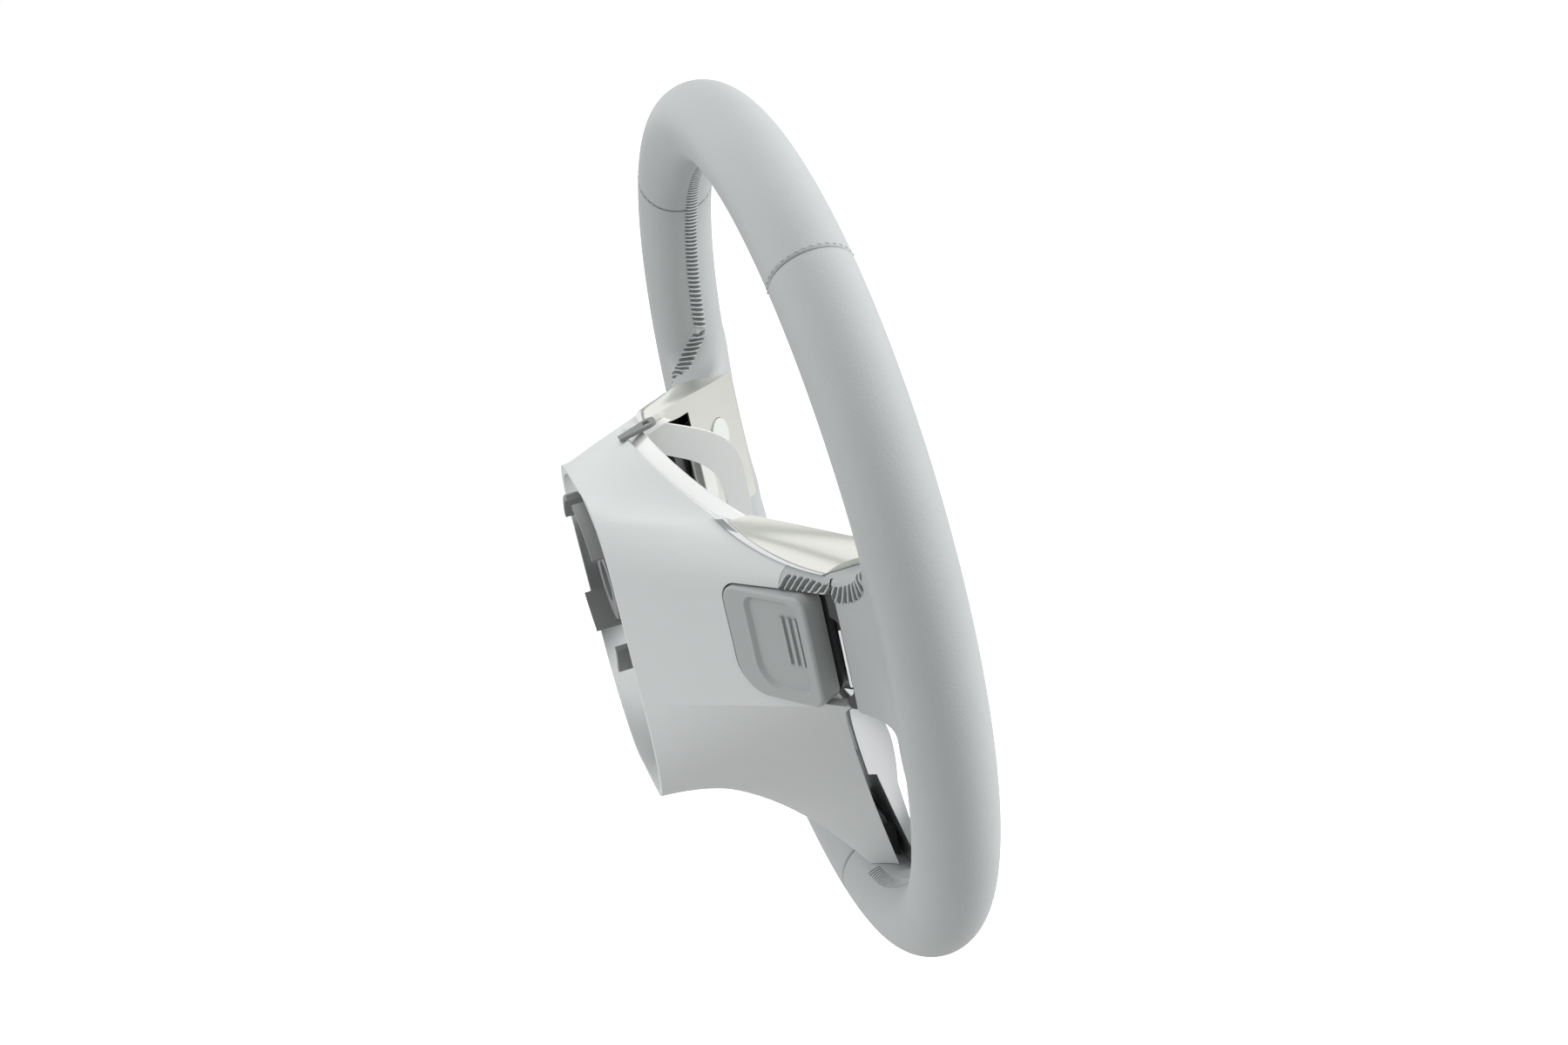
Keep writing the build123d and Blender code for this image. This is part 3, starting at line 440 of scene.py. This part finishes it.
def on_mesh(piece):
    """The same for a finished panel, with its tongue."""
    mesh = piece.data
    corners = [v.co / MM for v in mesh.vertices]
    tree = BVHTree.FromPolygons(corners, [f.vertices for f in mesh.polygons])

    def land(points):
        hits = [tree.find_nearest(Vector(point)) for point in points]
        return np.array([hit[0] for hit in hits]), np.array([hit[1] for hit in hits])

    return land


def laced(line, width, lean, lift, start=0.0, land=on_field):
    """Slanted stitches over a line of surface points."""
    steps = np.r_[0, np.cumsum(np.linalg.norm(np.diff(line, axis=0), axis=1))]
    share = np.linspace(-0.5, 0.5, STITCH_POINTS)
    height = lift - STITCH_DIP * (2 * np.abs(share)) ** 4

    def along_line(at):
        at = np.clip(at, 0, steps[-1])
        return np.stack([np.interp(at, steps, line[:, k]) for k in range(3)], -1)

    paths = []
    for n in range(int(steps[-1] // STITCH_PITCH)):
        at = (n + 0.5) * STITCH_PITCH + start + share * lean
        spot, normal = land(along_line(at))
        tangent = along_line(at + TANGENT_REACH) - along_line(at - TANGENT_REACH)
        across = np.cross(normal, tangent)
        across /= np.maximum(np.linalg.norm(across, axis=1, keepdims=True), 1e-6)
        spot, normal = land(spot + across * (share * width)[:, None])
        paths.append((spot + normal * height[:, None], normal))
    return paths


def sew_line(start, end):
    theta = np.radians(np.arange(start, end, SEW_STEP))
    return settle(grip_point(theta, sew_turn(np.degrees(theta))), False)


# Seam from the end of the tongue over the back of the spoke root to the inside of the rim
ROOT_SEAM_ON_SPOKE = (  # across and up on the face of the left spoke
    (7.5, 26.9), (13.0, 26.7), (19.0, 26.3), (24.5, 25.4), (29.5, 24.0), (35.0, 23.6),
)
ROOT_SEAM_ON_RIM = (  # x, depth and z
    (-148.0, 18.5, 25.6), (-153.0, 13.0, 30.5), (-155.0, 7.0, 38.0),
    (-154.0, 1.0, 47.0), (-151.6, -2.0, 52.0),
)
ROOT_SEAM_LIFT = 1.0
ROOT_STITCH_WIDTH = 8.0
ROOT_STITCH_LIFT = 0.3
ROOT_LEAN = 5.0


def eased(corners, count=70, rounds=12):
    """Smooth line through a few corners."""
    corners = np.asarray(corners)
    fine = np.linspace(0, len(corners) - 1, count)
    whole = np.arange(len(corners))
    line = np.stack([np.interp(fine, whole, corners[:, k]) for k in range(3)], -1)
    for _ in range(rounds):
        line[1:-1] = 0.5 * line[1:-1] + 0.25 * (line[2:] + line[:-2])
    return line


def root_line(mirror):
    spoke = [on_spoke(mirror, across, up, ROOT_SEAM_LIFT) for across, up in ROOT_SEAM_ON_SPOKE]
    rim = [(mirror * x, depth - HUB_DEPTH, z) for x, depth, z in ROOT_SEAM_ON_RIM]
    return eased(spoke + rim)


stitches, shade_threads = [], []
for low, high in (
    (SEW_FROM_ROOT, 180 - SEW_FROM_ROOT),
    (180 + SEW_FROM_ROOT, SEAM_FOOT - SEW_FROM_FOOT),
    (SEAM_FOOT + SEW_FROM_FOOT, 360 - SEW_FROM_ROOT),
):
    line = sew_line(low, high)
    stitches += laced(line, STITCH_WIDTH, STITCH_LEAN, STITCH_LIFT)
    shade_threads += laced(line, STITCH_WIDTH, STITCH_LEAN, SHADE_THREAD_LIFT, STITCH_PITCH / 2)
for name, mirror in SPOKE_SIDES:
    land = on_mesh(leather_pieces[name])
    line, _ = land(root_line(mirror))
    lean = mirror * ROOT_LEAN
    stitches += laced(line, ROOT_STITCH_WIDTH, lean, ROOT_STITCH_LIFT, 0.0, land)
    shade_threads += laced(line, ROOT_STITCH_WIDTH, lean, SHADE_THREAD_LIFT, STITCH_PITCH / 2, land)
rim_stitching = tubes("rim_stitching", stitches, THREAD_RADIUS)
# Dark threads between the stitches: painted shade standing for the shadow in the seam's gaps
rim_painted_shade_threads = tubes("rim_painted_shade_threads", shade_threads, SHADE_THREAD_RADIUS)

# Small stitches beside each upper seam, on the side of the upper panel
ROW_OFFSET = 1.7
ROW_TURN = radians(150)
ROW_STITCH = 2.0
ROW_PITCH = 3.1
ROW_POINTS = 5
ROW_LIFT = 0.12
ROW_DIP = 0.3
ROW_THREAD_RADIUS = 0.26


def seam_rows():
    paths = []
    height = ROW_LIFT - ROW_DIP * (2 * np.abs(np.linspace(-0.5, 0.5, ROW_POINTS))) ** 3
    for seam, side in ((SEAM_RIGHT, 1), (SEAM_LEFT, -1)):
        theta = (radians(seam) + side * ROW_OFFSET / RIM_RADIUS) * np.ones(ROW_POINTS)
        phi = -ROW_TURN
        while phi < ROW_TURN:
            turn = phi + np.linspace(0, ROW_STITCH, ROW_POINTS) / TUBE_RADIUS
            spot = settle(grip_point(theta, turn), True, 3)
            normal = normals_at(spot)
            paths.append((spot + normal * height[:, None], normal))
            phi += ROW_PITCH / TUBE_RADIUS
    return paths


seam_stitching = tubes("seam_stitching", seam_rows(), ROW_THREAD_RADIUS)


# Materials: each has a slow change of colour, its mottle (spread, scale per metre), and a fine
# relief (scale per metre, strength, distance in metres)
MOTTLE_FROM, MOTTLE_TO = 0.3, 0.7
FINE_RELIEF = (4200, 0.05, 0.0001)
TWIST_RELIEF = (3500, 0.4, 0.0002)
MOULDED_RELIEF = (2600, 0.18, 0.0002)


def new_material(name, color, rough, **values):
    mat = bpy.data.materials.new(name)
    mat.use_nodes = True
    shader = mat.node_tree.nodes["Principled BSDF"]
    shader.inputs["Base Color"].default_value = (*color, 1)
    shader.inputs["Roughness"].default_value = rough
    for socket, value in values.items():
        shader.inputs[socket.replace("_", " ")].default_value = value
    return mat, shader


def add_node(tree, kind, **values):
    made = tree.nodes.new(kind)
    for key, value in values.items():
        if hasattr(made, key):
            setattr(made, key, value)
        else:
            made.inputs[key.replace("_", " ")].default_value = value
    return made


def add_mottle(tree, shader, place, color, spread, scale):
    noise = add_node(tree, "ShaderNodeTexNoise", Scale=scale, Detail=3.0, Roughness=0.55)
    tree.links.new(place.outputs["Object"], noise.inputs["Vector"])
    ramp = add_node(tree, "ShaderNodeValToRGB")
    low, high = ramp.color_ramp.elements
    low.position, high.position = MOTTLE_FROM, MOTTLE_TO
    low.color = (*(max(0.0, c * (1 - spread)) for c in color), 1)
    high.color = (*(min(1.0, c * (1 + spread)) for c in color), 1)
    tree.links.new(noise.outputs["Fac"], ramp.inputs["Fac"])
    tree.links.new(ramp.outputs["Color"], shader.inputs["Base Color"])


def add_relief(tree, shader, place, scale, strength, distance, cells):
    if cells:
        texture = add_node(
            tree, "ShaderNodeTexVoronoi", feature="SMOOTH_F1", Scale=scale, Smoothness=0.35
        )
        height = texture.outputs["Distance"]
    else:
        texture = add_node(tree, "ShaderNodeTexNoise", Scale=scale, Detail=2.5)
        height = texture.outputs["Fac"]
    tree.links.new(place.outputs["Object"], texture.inputs["Vector"])
    bump = add_node(tree, "ShaderNodeBump", Strength=strength, Distance=distance)
    tree.links.new(height, bump.inputs["Height"])
    tree.links.new(bump.outputs["Normal"], shader.inputs["Normal"])


def material(name, color, rough, mottle, relief, cells=False, **values):
    mat, shader = new_material(name, color, rough, **values)
    tree = mat.node_tree
    place = add_node(tree, "ShaderNodeTexCoord")
    add_mottle(tree, shader, place, color, *mottle)
    add_relief(tree, shader, place, *relief, cells)
    return mat


leather = material(
    "leather", (0.365, 0.383, 0.383), 0.44,
    mottle=(0.03, 14), relief=(1100, 0.22, 0.0003), cells=True, Specular_IOR_Level=0.45,
)
thread = material(
    "thread", (0.42, 0.44, 0.44), 0.7, mottle=(0.08, 300), relief=TWIST_RELIEF,
)
# Near-black thread colour: painted shade for the shadow between the pale stitches, not a dark
# thread of its own
painted_shade_thread = material(
    "painted_shade_thread", (0.10, 0.105, 0.105), 0.75, mottle=(0.1, 300), relief=TWIST_RELIEF,
)
cover_plastic = material(
    "cover_plastic", (0.52, 0.54, 0.537), 0.5,
    mottle=(0.02, 9), relief=(2600, 0.16, 0.0002), Specular_IOR_Level=0.4,
)
# Rocker grey: its own darker plastic, made darker still as painted shade so the dish looks deeper
rocker_plastic_and_shade = material(
    "rocker_plastic_and_shade", (0.32, 0.335, 0.333), 0.47, mottle=(0.02, 12), relief=(2600, 0.14, 0.0002),
)
satin_silver = material(
    "satin_silver", (0.90, 0.905, 0.845), 0.32,
    mottle=(0.02, 12), relief=FINE_RELIEF, Metallic=0.9,
)
trim_silver = material(
    "trim_silver", (0.90, 0.915, 0.925), 0.3,
    mottle=(0.02, 12), relief=FINE_RELIEF, Metallic=1.0,
)
bright_frame = material(
    "bright_frame", (0.88, 0.89, 0.88), 0.22,
    mottle=(0.01, 10), relief=(1500, 0.03, 0.0001), Metallic=0.6,
)
chrome = material(
    "chrome", (0.86, 0.87, 0.88), 0.06,
    mottle=(0.01, 20), relief=(900, 0.02, 0.0001), Metallic=1.0,
)
dark_plastic = material(
    "dark_plastic", (0.05, 0.053, 0.054), 0.5, mottle=(0.15, 30), relief=MOULDED_RELIEF,
)
grey_plastic = material(
    "grey_plastic", (0.17, 0.178, 0.176), 0.45, mottle=(0.08, 30), relief=MOULDED_RELIEF,
)
key_plastic = material(
    "key_plastic", (0.60, 0.62, 0.59), 0.34,
    mottle=(0.02, 20), relief=FINE_RELIEF, Metallic=0.2,
)
casting = material(
    "casting", (0.24, 0.245, 0.25), 0.5,
    mottle=(0.07, 60), relief=(700, 0.3, 0.0004), Metallic=0.6,
)
foam = material(
    "foam", (0.06, 0.06, 0.062), 0.8, mottle=(0.2, 60), relief=(900, 0.3, 0.0004),
)
silicone = material(
    "silicone", (0.07, 0.07, 0.07), 0.55, mottle=(0.03, 40), relief=(1800, 0.1, 0.0002),
)
board = material(
    "board", (0.012, 0.04, 0.022), 0.4, mottle=(0.15, 90), relief=(1600, 0.1, 0.0001),
)
steel = material(
    "steel", (0.60, 0.60, 0.60), 0.3,
    mottle=(0.05, 120), relief=(2400, 0.1, 0.0001), Metallic=1.0,
)

slot_looks = {
    "leather": leather, "cover_plastic": cover_plastic, "satin_silver": satin_silver,
    "bright_frame": bright_frame, "chrome": chrome, "dark_plastic": dark_plastic,
    "key_plastic": key_plastic, "die_casting": casting, "foam": foam, "silicone": silicone,
    "board": board, "screw_steel": steel,
}
own_looks = {
    "left_shift_rocker": rocker_plastic_and_shade, "right_shift_rocker": rocker_plastic_and_shade,
    "lower_trim": trim_silver, "column_collar": grey_plastic, "lip_tab": grey_plastic,
}
slot_of = {s["node"]: s["material_slot"] for s in frame["record"]["subparts"]}


def dress(piece, mat):
    piece.data.materials.clear()
    piece.data.materials.append(mat)


for name, piece in frame["nodes"].items():
    dress(piece, own_looks.get(name, slot_looks[slot_of[name]]))

for name, piece in leather_pieces.items():
    dress(piece, leather)
    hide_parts(name)
    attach(piece, "wheel")
for piece, mat in ((rim_stitching, thread), (rim_painted_shade_threads, painted_shade_thread), (seam_stitching, thread)):
    dress(piece, mat)
    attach(piece, "wheel")

# Studio, in metres: a white floor and world to the camera, a plain level of light to the wheel
FLOOR_Z = -0.62
FLOOR_HALF = 9.0
WORLD_LIGHT = 0.9
WORLD_WHITE = 1.0
LAMP_SIZE = 1.3
LAMP_TARGET = (0, -0.06, 0)


def add_floor():
    mesh = bpy.data.meshes.new("floor")
    corners = [(-1, -1), (1, -1), (1, 1), (-1, 1)]
    mesh.from_pydata(
        [(x * FLOOR_HALF, y * FLOOR_HALF, FLOOR_Z) for x, y in corners], [], [(0, 1, 2, 3)]
    )
    floor = bpy.data.objects.new("floor", mesh)
    bpy.context.scene.collection.objects.link(floor)
    mat, shader = new_material("floor", (0.5, 0.5, 0.5), 0.9, Emission_Color=(1, 1, 1, 1))
    rays = add_node(mat.node_tree, "ShaderNodeLightPath")
    mat.node_tree.links.new(rays.outputs["Is Camera Ray"], shader.inputs["Emission Strength"])
    mesh.materials.append(mat)


def add_world():
    world = bpy.data.worlds.new("studio")
    bpy.context.scene.world = world
    world.use_nodes = True
    tree = world.node_tree
    back = tree.nodes["Background"]
    back.inputs["Color"].default_value = (1, 1, 1, 1)
    rays = add_node(tree, "ShaderNodeLightPath")
    strength = add_node(tree, "ShaderNodeMapRange", To_Min=WORLD_LIGHT, To_Max=WORLD_WHITE)
    tree.links.new(rays.outputs["Is Camera Ray"], strength.inputs["Value"])
    tree.links.new(strength.outputs["Result"], back.inputs["Strength"])


def add_lamp(name, place, power):
    data = bpy.data.lights.new(name, "AREA")
    data.shape = "DISK"
    data.size = LAMP_SIZE
    data.energy = power
    lamp = bpy.data.objects.new(name, data)
    lamp.location = place
    aim = Vector(LAMP_TARGET) - Vector(place)
    lamp.rotation_euler = aim.to_track_quat("-Z", "Y").to_euler()
    lamp.visible_glossy = False
    bpy.context.scene.collection.objects.link(lamp)


add_floor()
add_world()
add_lamp("left", (0.35, 1.7, 0.45), 12.5)
add_lamp("right", (-0.5, -1.8, 0.4), 35)
add_lamp("top", (0.6, -0.05, 1.8), 13.5)

# Camera at the photograph's viewpoint, as fitted to it
SENSOR_WIDTH = 36.0
LENS = 50.60
CAMERA_PLACE = Vector((-0.8700, 0.0911, 0.3422))
CAMERA_RIGHT = Vector((-0.2650, -0.9427, -0.2026))
CAMERA_FORWARD = Vector((0.9161, -0.1807, -0.3579))


def add_camera():
    data = bpy.data.cameras.new("camera")
    data.sensor_width = SENSOR_WIDTH
    data.lens = LENS
    camera = bpy.data.objects.new("camera", data)
    forward = CAMERA_FORWARD.normalized()
    up = CAMERA_RIGHT.normalized().cross(forward).normalized()
    right = forward.cross(up)
    turn = Matrix((right, up, -forward)).transposed()
    camera.matrix_world = Matrix.Translation(CAMERA_PLACE) @ turn.to_4x4()
    bpy.context.scene.collection.objects.link(camera)
    bpy.context.scene.camera = camera


add_camera()
bpy.context.scene.view_settings.view_transform = "Standard"
